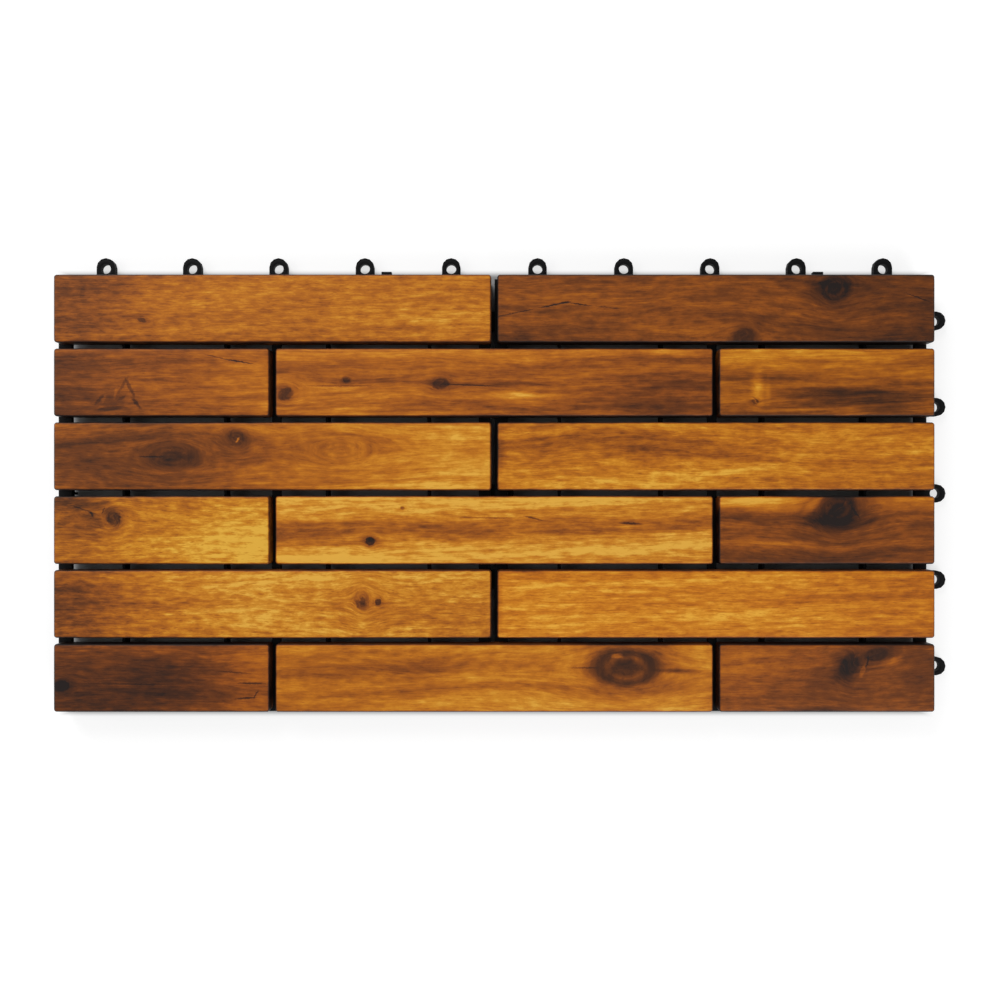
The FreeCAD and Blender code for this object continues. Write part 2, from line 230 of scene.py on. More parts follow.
def oiled_acacia(name, corner, board):
    """Solid acacia, planed and oiled: a satin skin over deep brown to gold grain with knots and checks."""
    material, tree = new_material(name)
    here = add(tree, "ShaderNodeTexCoord")
    place = add(tree, "ShaderNodeVectorMath", {
        0: here.outputs["Object"], 1: (PER_METRE, PER_METRE, PER_METRE), 2: tuple(-v for v in corner)},
        operation="MULTIPLY_ADD").outputs[0]

    # the grain wanders by a few millimetres along the board
    along, wide = WANDER_RUN
    drift = board["seed"] * WANDER_APART
    loose = add(tree, "ShaderNodeVectorMath", {0: place, 1: (1 / along, 1 / wide, 1 / wide),
                                               2: (drift, drift, 0)}, operation="MULTIPLY_ADD")
    wander = add(tree, "ShaderNodeTexNoise", {"Vector": loose.outputs[0], "Scale": 1.0, "Detail": 1.0})
    swing = board.get("wander", WANDER)
    bend = add(tree, "ShaderNodeMath", {0: wander.outputs["Fac"], 1: swing, 2: -swing / 2},
               operation="MULTIPLY_ADD").outputs[0]

    # small marks have ragged outlines, and broad ones follow the wandering grain
    rough = add(tree, "ShaderNodeTexNoise", {"Vector": place, "Scale": TORN_SCALE, "Detail": 3.0})
    ragged = add(tree, "ShaderNodeVectorMath", {
        0: rough.outputs["Color"], 1: (TORN[0], TORN[1], 0), 2: (-TORN[0] / 2, -TORN[1] / 2, 0)},
        operation="MULTIPLY_ADD")
    torn = add(tree, "ShaderNodeVectorMath", {0: place, 1: ragged.outputs[0]}, operation="ADD").outputs[0]
    sway = add(tree, "ShaderNodeCombineXYZ", {1: bend})
    waved = add(tree, "ShaderNodeVectorMath", {0: place, 1: sway.outputs[0]}, operation="ADD").outputs[0]

    knot_tone = 0.0
    for row in board.get("knots", ()):
        bend, knot_tone = knot(tree, torn, bend, knot_tone, *row)
    aside = add(tree, "ShaderNodeCombineXYZ", {1: bend})
    flow = add(tree, "ShaderNodeVectorMath", {0: place, 1: aside.outputs[0]}, operation="ADD")

    grain = add(tree, "ShaderNodeGroup", node_tree=GRAIN)
    tree.links.new(flow.outputs[0], grain.inputs["Flow"])
    for key, value in board["grain"].items():
        grain.inputs[key].default_value = value
    grain.inputs["Seed"].default_value = board["seed"]
    tone = add(tree, "ShaderNodeMath", {0: grain.outputs["Tone"], 1: board["tone"]},
               operation="ADD").outputs[0]
    tone = add(tree, "ShaderNodeMath", {0: tone, 1: knot_tone}, operation="ADD").outputs[0]

    # broad patches of heartwood and sapwood, and figures in the grain
    for row in board["patches"]:
        patch = soft_mark(tree, waved, row, 1.0, 0.0)
        tone = add(tree, "ShaderNodeMath", {0: tone, 1: patch}, operation="ADD").outputs[0]

    # checks: fine dark splits
    height = grain.outputs["Height"]
    for row in board.get("checks", ()):
        dark = soft_mark(tree, torn, row, 1.1, 0.4)
        tone = add(tree, "ShaderNodeMath", {0: tone, 1: dark}, operation="SUBTRACT").outputs[0]
        height = add(tree, "ShaderNodeMath", {0: dark, 1: -CHECK_RELIEF, 2: height},
                     operation="MULTIPLY_ADD").outputs[0]

    # painted shade darkens the rounded edges, and the sawn sides a little less
    edge_shade = add(tree, "ShaderNodeAttribute", attribute_name="edge")
    tone = add(tree, "ShaderNodeMath", {0: edge_shade.outputs["Fac"], 1: EDGE_PAINTED_SHADE, 2: tone},
               operation="MULTIPLY_ADD").outputs[0]

    stops = [(at, linear(code)) for at, code in ACACIA_TONES]
    ramp = fill_ramp(add(tree, "ShaderNodeValToRGB", {0: tone}), stops)
    tint = add(tree, "ShaderNodeMix", {0: 1.0, 6: ramp.outputs[0], 7: board["tint"] + (1,)},
               data_type="RGBA", blend_type="MULTIPLY")
    # dense fibres take a satin sheen from the oil, and open pores stay dull
    sheen = add(tree, "ShaderNodeMapRange", {
        "Value": grain.outputs["Height"], "From Min": -0.6, "From Max": 0.8, "To Min": 0.66, "To Max": 0.44})
    bump = add(tree, "ShaderNodeBump", {"Strength": 0.45, "Distance": 0.00018, "Height": height})
    shader = add(tree, "ShaderNodeBsdfPrincipled", {
        "Base Color": tint.outputs[2], "Roughness": sheen.outputs[0], "Normal": bump.outputs[0],
        "IOR": 1.45, "Specular IOR Level": 0.20})
    add(tree, "ShaderNodeOutputMaterial", {0: shader.outputs[0]})
    return material


# Other materials

POLYPROPYLENE_GRIT = 0.6     # mm, of a spark-eroded mould
POLYPROPYLENE_CLOUD = 45.0   # mm, between slightly greyer and blacker places
TURNING_MARKS = 0.5          # mm


def moulded_polypropylene():
    """Black polypropylene from a spark-eroded mould: dull, with a fine even grit."""
    material, tree = new_material("black_moulded_polypropylene")
    here = add(tree, "ShaderNodeTexCoord").outputs["Object"]
    grit = add(tree, "ShaderNodeTexNoise", {"Vector": here, "Scale": PER_METRE / POLYPROPYLENE_GRIT,
                                            "Detail": 2.0})
    cloud = add(tree, "ShaderNodeTexNoise", {"Vector": here, "Scale": PER_METRE / POLYPROPYLENE_CLOUD,
                                             "Detail": 2.0})
    shade = fill_ramp(add(tree, "ShaderNodeValToRGB", {0: cloud.outputs["Fac"]}),
                      [(0.35, linear("#070708")), (0.65, linear("#0e0e0f"))])
    dull = add(tree, "ShaderNodeMapRange", {"Value": grit.outputs["Fac"], "To Min": 0.48, "To Max": 0.68})
    bump = add(tree, "ShaderNodeBump", {"Strength": 0.25, "Distance": 0.0001, "Height": grit.outputs["Fac"]})
    shader = add(tree, "ShaderNodeBsdfPrincipled", {
        "Base Color": shade.outputs[0], "Roughness": dull.outputs[0], "Normal": bump.outputs[0],
        "IOR": 1.49, "Specular IOR Level": 0.09})
    add(tree, "ShaderNodeOutputMaterial", {0: shader.outputs[0]})
    return material


def zinc_plated_steel():
    """Bright zinc plate on carbon steel: a grey metal with soft turning marks."""
    material, tree = new_material("zinc_plated_steel")
    here = add(tree, "ShaderNodeTexCoord").outputs["Object"]
    marks = add(tree, "ShaderNodeTexNoise", {"Vector": here, "Scale": PER_METRE / TURNING_MARKS,
                                             "Detail": 3.0})
    shade = fill_ramp(add(tree, "ShaderNodeValToRGB", {0: marks.outputs["Fac"]}),
                      [(0.3, linear("#9a9a94")), (0.7, linear("#c4c3bb"))])
    worn = add(tree, "ShaderNodeMapRange", {"Value": marks.outputs["Fac"], "To Min": 0.28, "To Max": 0.5})
    shader = add(tree, "ShaderNodeBsdfPrincipled", {
        "Base Color": shade.outputs[0], "Roughness": worn.outputs[0], "Metallic": 1.0})
    add(tree, "ShaderNodeOutputMaterial", {0: shader.outputs[0]})
    return material


PLASTIC = moulded_polypropylene()
STEEL = zinc_plated_steel()


# The boards

# How strongly each layer of the grain shows
FINE = {"Figure": 0.24, "Streaks": 0.34, "Fibres": 0.33, "Mottle": 0.60, "Pores": 0.10}
CALM = {"Figure": 0.32, "Streaks": 0.42, "Fibres": 0.28, "Mottle": 0.44, "Pores": 0.06}
STRONG = {"Figure": 0.56, "Streaks": 0.56, "Fibres": 0.27, "Mottle": 0.40, "Pores": 0.06}
CURLY = {"Figure": 0.34, "Streaks": 0.36, "Fibres": 0.35, "Mottle": 0.72, "Pores": 0.12}

# Places are millimetres from a board's left front corner.
# patches: x, y, half length, half width, turn in degrees, change of tone
# knots: x, y, radius, stretch along the board, turn, darkness, strength of rings
# checks: x, y, half length, half width, turn, darkness
BOARDS = {
    "board_row1_left": {
        "seed": 1, "tone": 0.69, "tint": (1.0, 0.99, 1.05), "wander": 4.0,
        "grain": FINE | {"Pith across": 60.0, "Pith depth": 50.0},
        "patches": [(-6, 22, 110, 70, 0, -0.29), (270, 30, 130, 40, 0, 0.05), (56, 44, 80, 16, 0, -0.06)],
        "knots": [(60, 15, 1.3, 2.2, -18, 0.34, 0)],
        "checks": [(20, 34, 6, 2.2, 75, 0.09)],
    },
    "board_row1_right": {
        "seed": 2, "tone": 0.43, "tint": (1.0, 0.98, 0.98),
        "grain": CALM | {"Pith across": 40.0, "Pith slope": -0.04, "Streaks": 0.38},
        "patches": [(40, 28, 120, 40, 0, 0.04), (228, 40, 60, 14, -3, -0.12), (296, 18, 150, 60, 0, -0.16),
                    (190, 42, 120, 3.0, -2, -0.12), (30, 5, 60, 9, 3, -0.09), (110, 12, 60, 12, -4, 0.09),
                    (200, 21, 70, 4, -4, 0.06), (18, 3, 10, 6, 0, -0.1)],
        "knots": [(228, 36, 8.5, 1.2, 20, 0.34, 0.03), (167, 3.5, 6.0, 1.3, 15, 0.32, 0.015)],
        "checks": [(13, 20, 16, 0.45, 12, 0.3), (37, 25, 10, 0.6, 12, 0.42), (46, 26.8, 4, 0.9, 8, 0.45),
                   (56, 25.6, 9, 0.5, -8, 0.4), (75, 23.5, 14, 0.4, -6, 0.22),
                   (285, 30, 12, 0.5, -20, 0.22)],
    },
    "board_row2_left": {
        "seed": 3, "tone": 0.5, "tint": (1.02, 0.98, 1.0),
        "grain": CALM | {"Pith across": -20.0, "Pith slope": 0.06},
        "patches": [(-5, 18, 66, 60, 0, -0.2), (140, 30, 66, 60, 0, 0.16), (48, 14, 26, 16, 0, -0.06),
                    (36, 8, 16, 7, 10, -0.08), (142, 4, 12, 12, 0, 0.12)],
        "checks": [(125, 37, 13, 0.6, -10, 0.4), (110, 40, 10, 0.5, -14, 0.2), (52, 19, 9, 1.5, -64, 0.2),
                   (47, 21, 8, 1.2, 60, 0.13), (38, 5, 13, 1.6, 6, 0.2), (56, 9, 6, 1.6, -50, 0.24),
                   (31, 11, 6, 1.3, 50, 0.14), (46, 12, 4, 1.2, 30, 0.15), (42, 15, 5, 1.3, 80, -0.1),
                   (34, 11, 4, 1.2, 70, -0.1)],
    },
    "board_row2_middle": {
        "seed": 4, "tone": 0.58, "tint": (1.02, 0.98, 1.04),
        "grain": STRONG | {"Pith across": 18.0, "Pith depth": 16.0, "Pith slope": 0.02},
        "patches": [(60, 24, 80, 3.0, 0, -0.2), (140, 22, 70, 3.0, 0, -0.18), (110, 46, 300, 15, 0, 0.15),
                    (163, 14, 26, 5, 0, 0.22), (180, 14, 34, 3, 0, 0.12), (280, 10, 110, 28, 0, -0.28),
                    (60, 14, 90, 9, 0, 0.08), (150, 34, 120, 8, 0, 0.06), (136, 23, 50, 7, 0, 0.11),
                    (20, 40, 70, 12, 0, 0.07), (285, 24, 60, 8, 0, -0.14), (292, 5, 30, 13, 0, 0.16),
                    (50, 2, 110, 13, 0, 0.14), (240, 46, 80, 8, 0, 0.06)],
        "knots": [(7, 15, 3.8, 1.5, 25, 0.4, 0), (48, 24.5, 1.8, 1.2, 0, 0.34, 0),
                  (112, 22, 3.6, 1.5, 10, 0.38, 0)],
        "checks": [(45, 20.5, 30, 0.6, 0, 0.2), (132, 21, 22, 0.6, -2, 0.26)],
    },
    "board_row2_right": {
        "seed": 5, "tone": 0.56, "tint": (1.01, 1.0, 0.86),
        "grain": STRONG | {"Pith across": 60.0, "Pith depth": 25.0},
        "patches": [(40, 46, 130, 22, 0, 0.26), (100, 11, 90, 18, -2, -0.34), (90, 19, 74, 3, -2, -0.16),
                    (20, 4, 44, 9, 0, -0.12), (6, 40, 40, 12, 0, 0.1), (84, 4, 26, 8, 0, 0.08),
                    (70, 0, 120, 9, 0, -0.1), (92, 5, 26, 12, 0, 0.14), (26, 19, 7, 18, 0, 0.28),
                    (33, 18, 3, 12, 0, 0.12), (120, 30, 60, 4, -4, 0.1), (0, 20, 24, 26, 0, 0.06),
                    (130, 24, 40, 3, -4, -0.18), (70, 37, 60, 2.6, -3, -0.12)],
        "knots": [(24.5, 10, 2.3, 0.8, 80, 0.36, 0)],
    },
    "board_row3_left": {
        "seed": 6, "tone": 0.605, "tint": (1.01, 0.99, 0.98), "wander": 6.0,
        "grain": CALM | {"Pith across": 23.0, "Pith depth": 9.0, "Pith slope": 0.01, "Figure": 0.55},
        "patches": [(36, 24, 150, 60, 0, -0.26), (84, 23, 20, 11, 0, -0.17), (296, 26, 140, 60, 0, 0.26),
                    (284, 28, 22, 18, 0, -0.06), (250, 4, 50, 10, 0, 0.08), (62, 20, 60, 10, 4, -0.05),
                    (210, 28, 44, 14, 0, -0.06), (30, 30, 40, 3, 6, 0.06), (204, 24, 36, 40, 0, 0.08),
                    (52, 24, 34, 40, 0, 0.05), (284, 42, 30, 12, 0, 0.06)],
        "knots": [(124, 35, 4.8, 1.3, -20, 0.28, 0.03), (80, 23, 8.5, 2.1, 0, 0.07, 0.035),
                  (194, 27, 7.0, 2.6, 0, 0.01, 0.035)],
        "checks": [(66, 22.6, 10, 0.6, 0, 0.26), (124.6, 34, 2.4, 1.1, 60, -0.42)],
    },
    "board_row3_right": {
        "seed": 7, "tone": 0.72, "tint": (1.02, 1.0, 0.92),
        "grain": FINE | {"Pith across": 70.0, "Pith depth": 22.0, "Figure": 0.34},
        "patches": [(40, 34, 90, 18, 4, -0.1), (130, 28, 80, 12, -7, -0.15), (110, 7, 160, 11, 4, 0.18),
                    (230, 34, 50, 12, 4, 0.06), (60, 20, 90, 3, 8, -0.1), (0, 24, 8, 30, 0, -0.2),
                    (170, 22, 60, 3.5, -6, -0.08), (14, 26, 12, 4, 0, 0.12), (97, 23, 36, 12, -4, -0.18),
                    (120, 42, 70, 9, 0, 0.09)],
    },
    "board_row4_left": {
        "seed": 8, "tone": 0.76, "tint": (1.0, 1.03, 0.96),
        "grain": CURLY | {"Pith across": 30.0, "Pith depth": 40.0},
        "patches": [(0, 43, 66, 10, -8, -0.42), (20, 26, 30, 22, 0, -0.14), (0, 20, 60, 60, 0, -0.16),
                    (130, 8, 90, 46, 24, 0.22), (43, 30, 15, 13, 0, 0.06), (90, 42, 54, 9, 0, -0.07),
                    (10, 23, 22, 12, 0, 0.06), (60, 44, 26, 12, 0, -0.08), (134, 44, 26, 12, 0, -0.08)],
        "knots": [(41, 31, 4.6, 1.05, -35, 0.46, 0.03)],
        "checks": [(20, 37, 12, 0.7, -20, 0.2), (26, 34, 3, 1.0, -60, 0.28), (34, 36, 3, 0.7, 75, 0.24)],
    },
    "board_row4_middle": {
        "seed": 9, "tone": 0.88, "tint": (1.01, 1.0, 1.04), "wander": 5.0,
        "grain": STRONG | {"Pith across": 22.0, "Pith depth": 14.0, "Figure": 0.46,
                           "Streaks": 0.58, "Fibres": 0.3, "Mottle": 0.58},
        "patches": [(40, 22, 130, 12, 1, -0.27), (290, 25, 40, 9, 0, -0.08), (200, 24, 170, 9, 1, -0.33),
                    (100, 28, 200, 3, 0, -0.08), (180, 44, 130, 9, 0, 0.1), (210, 4, 120, 12, 0, -0.06),
                    (70, 16, 60, 5, 2, -0.08), (270, 32, 60, 10, 0, -0.05), (-4, 24, 12, 20, 0, -0.1),
                    (166, 23, 30, 11, 0, 0.17), (190, 43, 66, 9, 0, 0.09), (36, 24, 60, 16, 0, 0.08),
                    (14, 5, 26, 10, 0, 0.1)],
        "knots": [(64, 15.5, 2.8, 1.1, 0, 0.6, 0), (86, 38, 1.0, 1.4, 0, 0.4, 0)],
        "checks": [(140, 31.5, 26, 0.7, -1, 0.22), (240, 27.5, 8, 1.0, -2, 0.34),
                   (175, 31, 8, 0.7, -14, 0.3)],
    },
    "board_row4_right": {
        "seed": 10, "tone": 0.46, "tint": (1.02, 0.98, 0.96),
        "grain": STRONG | {"Pith across": 80.0, "Pith depth": 20.0, "Figure": 0.42, "Streaks": 0.4},
        "patches": [(22, 45, 70, 14, 0, 0.48), (134, 45, 56, 10, -4, 0.34), (80, 32, 36, 16, 0, -0.18),
                    (60, 30, 130, 5, 0, -0.12), (20, 10, 60, 10, 3, 0.05), (36, 15, 50, 2, 2, 0.1),
                    (62, 40, 12, 4, 40, 0.22), (120, 8, 50, 10, 0, 0.03), (60, 6, 110, 13, 0, -0.07)],
        "knots": [(80, 37, 9.6, 1.35, 20, 0.4, 0.03)],
        "checks": [(92, 35, 6, 0.9, -55, 0.2)],
    },
    "board_row5_left": {
        "seed": 11, "tone": 0.79, "tint": (1.0, 1.0, 1.06), "wander": 12.0,
        "grain": CURLY | {"Pith across": 23.0, "Pith depth": 26.0},
        "patches": [(-10, 22, 116, 50, 0, -0.46), (150, 40, 70, 14, 0, 0.1), (190, 22, 60, 5, 0, -0.08),
                    (150, 8, 90, 14, 0, 0.12), (170, 34, 36, 14, 0, 0.08), (96, 26, 40, 10, 0, -0.05),
                    (250, 18, 90, 24, 0, -0.1), (262, 42, 60, 6, 0, 0.06), (84, 23, 66, 11, 0, -0.08),
                    (200, 42, 40, 12, 0, 0.06), (236, 6, 34, 11, 0, 0.09), (54, 6, 34, 11, 0, 0.08)],
        "knots": [(209, 25, 6.0, 0.8, 0, 0.26, 0.01), (219.5, 24.4, 2.2, 1.0, 0, 0.56, 0),
                  (209, 25, 2.4, 0.8, 0, 0.22, 0)],
        "checks": [(232, 24, 12, 0.8, 2, 0.14)],
    },
    "board_row5_right": {
        "seed": 12, "tone": 0.79, "tint": (1.06, 0.99, 0.84), "wander": 4.0,
        "grain": FINE | {"Pith across": 90.0, "Pith depth": 40.0, "Streaks": 0.48,
                         "Fibres": 0.28, "Mottle": 0.54},
        "patches": [(300, 24, 150, 60, 0, -0.12), (20, 34, 60, 3, 6, 0.1), (110, 30, 90, 2.6, -4, 0.06),
                    (30, 14, 80, 22, 0, 0.07), (200, 22, 70, 2.4, 8, 0.06), (0, 24, 5, 30, 0, -0.12)],
    },
    "board_row6_left": {
        "seed": 13, "tone": 0.35, "tint": (1.03, 0.97, 1.0),
        "grain": CALM | {"Pith across": 30.0, "Pith depth": 30.0, "Figure": 0.25, "Streaks": 0.32},
        "patches": [(36, 8, 100, 28, 0, -0.17), (70, 24, 40, 20, 0, -0.1), (142, 34, 50, 34, 0, 0.28),
                    (76, 14, 40, 14, 0, -0.06), (100, 40, 60, 6, -4, 0.08), (110, 10, 40, 2, 2, -0.08),
                    (60, 44, 60, 6, 0, 0.06), (134, 4, 30, 14, 0, 0.22), (96, 5, 36, 12, 0, 0.08)],
        "knots": [(6, 18, 3.4, 1.4, 0, 0.34, 0)],
        "checks": [(134, 19.5, 11, 0.8, -1, 0.34), (122, 27, 14, 0.6, -4, 0.18), (130, 9.5, 9, 0.8, 4, 0.3),
                   (137, 12, 4, 0.8, 60, 0.26), (50, 19, 40, 0.7, -1, 0.14)],
    },
    "board_row6_middle": {
        "seed": 14, "tone": 0.7, "tint": (1.01, 0.99, 0.97),
        "grain": CALM | {"Pith across": -40.0, "Pith depth": 20.0, "Mottle": 0.45,
                         "Figure": 0.24, "Streaks": 0.36},
        "patches": [(20, 30, 120, 50, 0, -0.07), (180, 4, 170, 16, 0, 0.12), (100, 34, 70, 7, 4, -0.08),
                    (284, 34, 30, 30, 0, 0.08), (274, 27, 24, 2.6, -2, -0.36), (200, 38, 26, 14, 0, 0.14),
                    (238, 30, 34, 18, 0, -0.06), (165, 42, 50, 10, 0, 0.08), (94, 27, 40, 18, 0, -0.11),
                    (206, 26, 20, 18, 0, 0.14), (290, 43, 26, 10, 0, 0.1), (264, 5, 54, 12, 0, 0.1),
                    (244, 24, 40, 10, 0, 0.08), (12, 43, 40, 9, 0, 0.07)],
        "knots": [(237, 30, 12.6, 1.8, 0, 0.56, 0.035)],
        "checks": [(231, 38, 5, 2.0, 0, -0.3), (208, 30, 12, 0.7, 0, 0.2)],
    },
    "board_row6_right": {
        "seed": 15, "tone": 0.44, "tint": (1.02, 0.97, 0.96),
        "grain": CALM | {"Pith across": 50.0, "Pith depth": 26.0, "Figure": 0.22, "Streaks": 0.28},
        "patches": [(10, 32, 66, 40, 0, 0.14), (92, 34, 36, 18, 20, -0.18), (126, 40, 34, 10, -10, -0.14),
                    (70, 2, 34, 5, 0, -0.22), (110, 22, 20, 4, -4, 0.06), (118, 36, 12, 6, 30, 0.14),
                    (140, 24, 28, 34, 0, -0.08)],
        "knots": [(88, 32, 6.0, 1.4, 60, 0.3, 0.01), (106, 39, 4.4, 1.8, 10, 0.26, 0.01)],
        "checks": [(97, 28, 6, 1.8, 70, -0.17), (100, 34, 5, 0.9, 80, 0.22), (93, 38, 3, 1.4, 20, -0.12)],
    },
}

CORNER = 2.1          # roundness of a board's corners, seen from above, in mm
EASED = 1.6           # roundness of its upper edges
BACK_EASED = 0.8      # and of its lower ones
ARC_STEPS = 4
CELL_STEP = 4.0       # spacing of the mesh between the edges
ON_FACE = 1e-6        # mm from the upper or lower face that still count as on it
SIDE_PAINTED_SHADE = 0.45      # how much of the edges' painted shade the sawn sides take
PAINTED_SHADE_FADE = 4         # how fast the painted shade fades from an edge inwards
PLANED_DIP = 0.05     # mm by which the planed face waves
PLANED_WAVE = (60, 14)    # mm along and across the board for one wave
WAVE_APART = 7.0      # between two seeds in its noise
KNOT_HOLLOW = 0.16    # mm of the hollow round the darkest knot, which is harder to plane


def cut_lines(length, step):
    """Places of the mesh lines across a board: close together at its rounded edges, even between."""
    arc = [EASED * k / ARC_STEPS for k in range(ARC_STEPS + 1)]
    count = round((length - 2 * EASED) / step)
    between = [EASED + (length - 2 * EASED) * k / count for k in range(1, count)]
    return arc + between + [length - v for v in reversed(arc)]


def rounded(x, y, z, half_length, half_width, thick):
    """Moves a point of the plain box to the rounded board, and says how near the edge it is, from 0 to 1."""
    a, b = abs(x) - (half_length - CORNER), abs(y) - (half_width - CORNER)
    m = max(a, b, 0.0)
    if m == 0.0:
        return x, y, z, 0.0
    inward = CORNER - m
    inset, edge = inward, max(0.0, 1 - inward / CORNER)
    upper = z > thick / 2
    radius = EASED if upper else BACK_EASED
    depth = thick - z if upper else z
    angle = None
    if depth < ON_FACE and inward < radius:
        angle = math.radians(45 + 45 * inward / radius)
    elif ON_FACE <= depth < radius:
        angle = math.radians(45 - 45 * depth / radius)
    if angle is not None:
        inset = radius * (1 - math.cos(angle))
        drop = radius * (1 - math.sin(angle))
        z = thick - drop if upper else drop
    m = CORNER - inset
    if a > 0 and b > 0:
        size = math.hypot(a, b)
        a, b = a / size * m, b / size * m
    else:
        a, b = (m, b) if a > 0 else (a, m)
    return math.copysign(half_length - CORNER + a, x), math.copysign(half_width - CORNER + b, y), z, edge


def face_dip(x, y, board):
    """How far the planed face lies under the flat: a slight waviness, and a hollow round each knot."""
    along, wide = PLANED_WAVE
    dip = PLANED_DIP + PLANED_DIP * noise.noise(Vector((x / along, y / wide, board["seed"] * WAVE_APART)))
    for kx, ky, radius, stretch, _, dark, _ in board.get("knots", ()):
        far = math.hypot((x - kx) / (radius * stretch), (y - ky) / radius)
        dip += KNOT_HOLLOW * dark * math.exp(-far * far)
    return dip


def make_board(name, board):
    """One board as a closed mesh with its edge attribute, which carries its painted edge shade, and its own
    acacia.
    """
    low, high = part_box(name)
    low, high = low / MM, high / MM
    length, width, thick = high - low
    middle = (low + high) / 2
    xs, ys = cut_lines(length, CELL_STEP), cut_lines(width, CELL_STEP)
    zs = [0, BACK_EASED / 2, BACK_EASED] + [thick - EASED + EASED * k / ARC_STEPS
                                            for k in range(ARC_STEPS + 1)]
    nx, ny, nz = len(xs) - 1, len(ys) - 1, len(zs) - 1
    mesh = bpy.data.meshes.new(name + "_wood")
    bm = bmesh.new()
    edge_layer = bm.verts.layers.float.new("edge")
    grid = {}
    for i, x in enumerate(xs):
        for j, y in enumerate(ys):
            for k, z in enumerate(zs):
                if i in (0, nx) or j in (0, ny) or k in (0, nz):
                    px, py, pz, edge = rounded(x - length / 2, y - width / 2, z, length / 2, width / 2, thick)
                    if k == nz:
                        pz -= face_dip(px + length / 2, py + width / 2, board)
                    vert = bm.verts.new(Vector((middle.x + px, middle.y + py, low.z + pz)) * MM)
                    # painted shade: the sawn sides and underside take an even share, and the upper face
                    # darkens towards its rounded edges
                    vert[edge_layer] = SIDE_PAINTED_SHADE if z < thick - EASED else edge ** PAINTED_SHADE_FADE
                    grid[i, j, k] = vert
    for i in range(nx):
        for j in range(ny):
            bm.faces.new([grid[i, j, nz], grid[i + 1, j, nz], grid[i + 1, j + 1, nz], grid[i, j + 1, nz]])
            bm.faces.new([grid[i, j, 0], grid[i, j + 1, 0], grid[i + 1, j + 1, 0], grid[i + 1, j, 0]])
    for i in range(nx):
        for k in range(nz):
            bm.faces.new([grid[i, 0, k], grid[i + 1, 0, k], grid[i + 1, 0, k + 1], grid[i, 0, k + 1]])
            bm.faces.new([grid[i, ny, k], grid[i, ny, k + 1], grid[i + 1, ny, k + 1], grid[i + 1, ny, k]])
    for j in range(ny):
        for k in range(nz):
            bm.faces.new([grid[0, j, k], grid[0, j, k + 1], grid[0, j + 1, k + 1], grid[0, j + 1, k]])
            bm.faces.new([grid[nx, j, k], grid[nx, j + 1, k], grid[nx, j + 1, k + 1], grid[nx, j, k + 1]])
    for face in bm.faces:
        face.smooth = True
    bm.to_mesh(mesh)
    bm.free()
    piece = bpy.data.objects.new(name + "_wood", mesh)
    bpy.context.scene.collection.objects.link(piece)
    mesh.materials.append(oiled_acacia(name + "_acacia", (low.x, low.y, BASE_TOP), board))
    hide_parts(name)
    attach(piece, "root")


for board_name, board_look in BOARDS.items():
    make_board(board_name, board_look)


# The moulded grids

MOULD_RADIUS = 0.35      # mm on all the outer edges of the mouldings
MERGED = 0.002           # mm within which the CAD mesh's loose triangles share their corners
FLAT = math.radians(1)   # between triangles that belong to one flat face
SHARP = math.radians(40)    # from here on, an edge gets its radius


def finished(name, obj, slot, *nodes):
    """The object with its modifiers applied, as a plain piece that rides on the tile."""
    depsgraph = bpy.context.evaluated_depsgraph_get()
    mesh = bpy.data.meshes.new_from_object(obj.evaluated_get(depsgraph))
    mesh.name = name
    obj.modifiers.clear()
    bpy.data.objects.remove(obj)
    piece = bpy.data.objects.new(name, mesh)
    bpy.context.scene.collection.objects.link(piece)
    if nodes:
        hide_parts(*nodes)
    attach(piece, "root")


def moulded_grid(name, node):
    """The grid with its flat faces joined and its edges rounded."""
    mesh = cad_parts[node].data.copy()
    bm = bmesh.new()
    bm.from_mesh(mesh)
    bmesh.ops.remove_doubles(bm, verts=bm.verts, dist=MERGED * MM)
    bmesh.ops.dissolve_limit(bm, angle_limit=FLAT, verts=bm.verts, edges=bm.edges)
    for face in bm.faces:
        face.smooth = False
    bm.to_mesh(mesh)
    bm.free()
    mesh.materials.clear()
    mesh.materials.append(PLASTIC)
    obj = bpy.data.objects.new(name + "_rough", mesh)
    bpy.context.scene.collection.objects.link(obj)
    bevel = obj.modifiers.new("mould_radius", "BEVEL")
    bevel.width = MOULD_RADIUS * MM
    bevel.segments = 2
    bevel.limit_method = "ANGLE"
    bevel.angle_limit = SHARP
    finished(name, obj, "base", node)


moulded_grid("left_moulded_grid", "base_grid_left")
moulded_grid("right_moulded_grid", "base_grid_right")


# Repeated small pieces

def lathe(name, profile, segments, material, reach=None):
    """A body of revolution round Z from (radius, height) pairs in mm, varied round the turn by reach."""
    mesh = bpy.data.meshes.new(name)
    bm = bmesh.new()
    rings = []
    for radius, height in profile:
        ring = []
        for k in range(segments):
            angle = 2 * math.pi * k / segments
            r, z = (radius, height) if reach is None else reach(radius, height, angle)
            ring.append(bm.verts.new((r * math.cos(angle) * MM, r * math.sin(angle) * MM, z * MM)))
        rings.append(ring)
    closed = profile[0] == profile[-1]
    if closed:
        for vert in rings.pop():
            bm.verts.remove(vert)
    for n in range(len(rings) if closed else len(rings) - 1):
        first, second = rings[n], rings[(n + 1) % len(rings)]
        for k in range(segments):
            after = (k + 1) % segments
            bm.faces.new([first[k], first[after], second[after], second[k]])
    if not closed:
        bm.faces.new(list(reversed(rings[0])))
        bm.faces.new(rings[-1])
    bmesh.ops.recalc_face_normals(bm, faces=bm.faces)
    for face in bm.faces:
        face.smooth = len(face.verts) == 4
    bm.to_mesh(mesh)
    bm.free()
    mesh.materials.append(material)
    return mesh


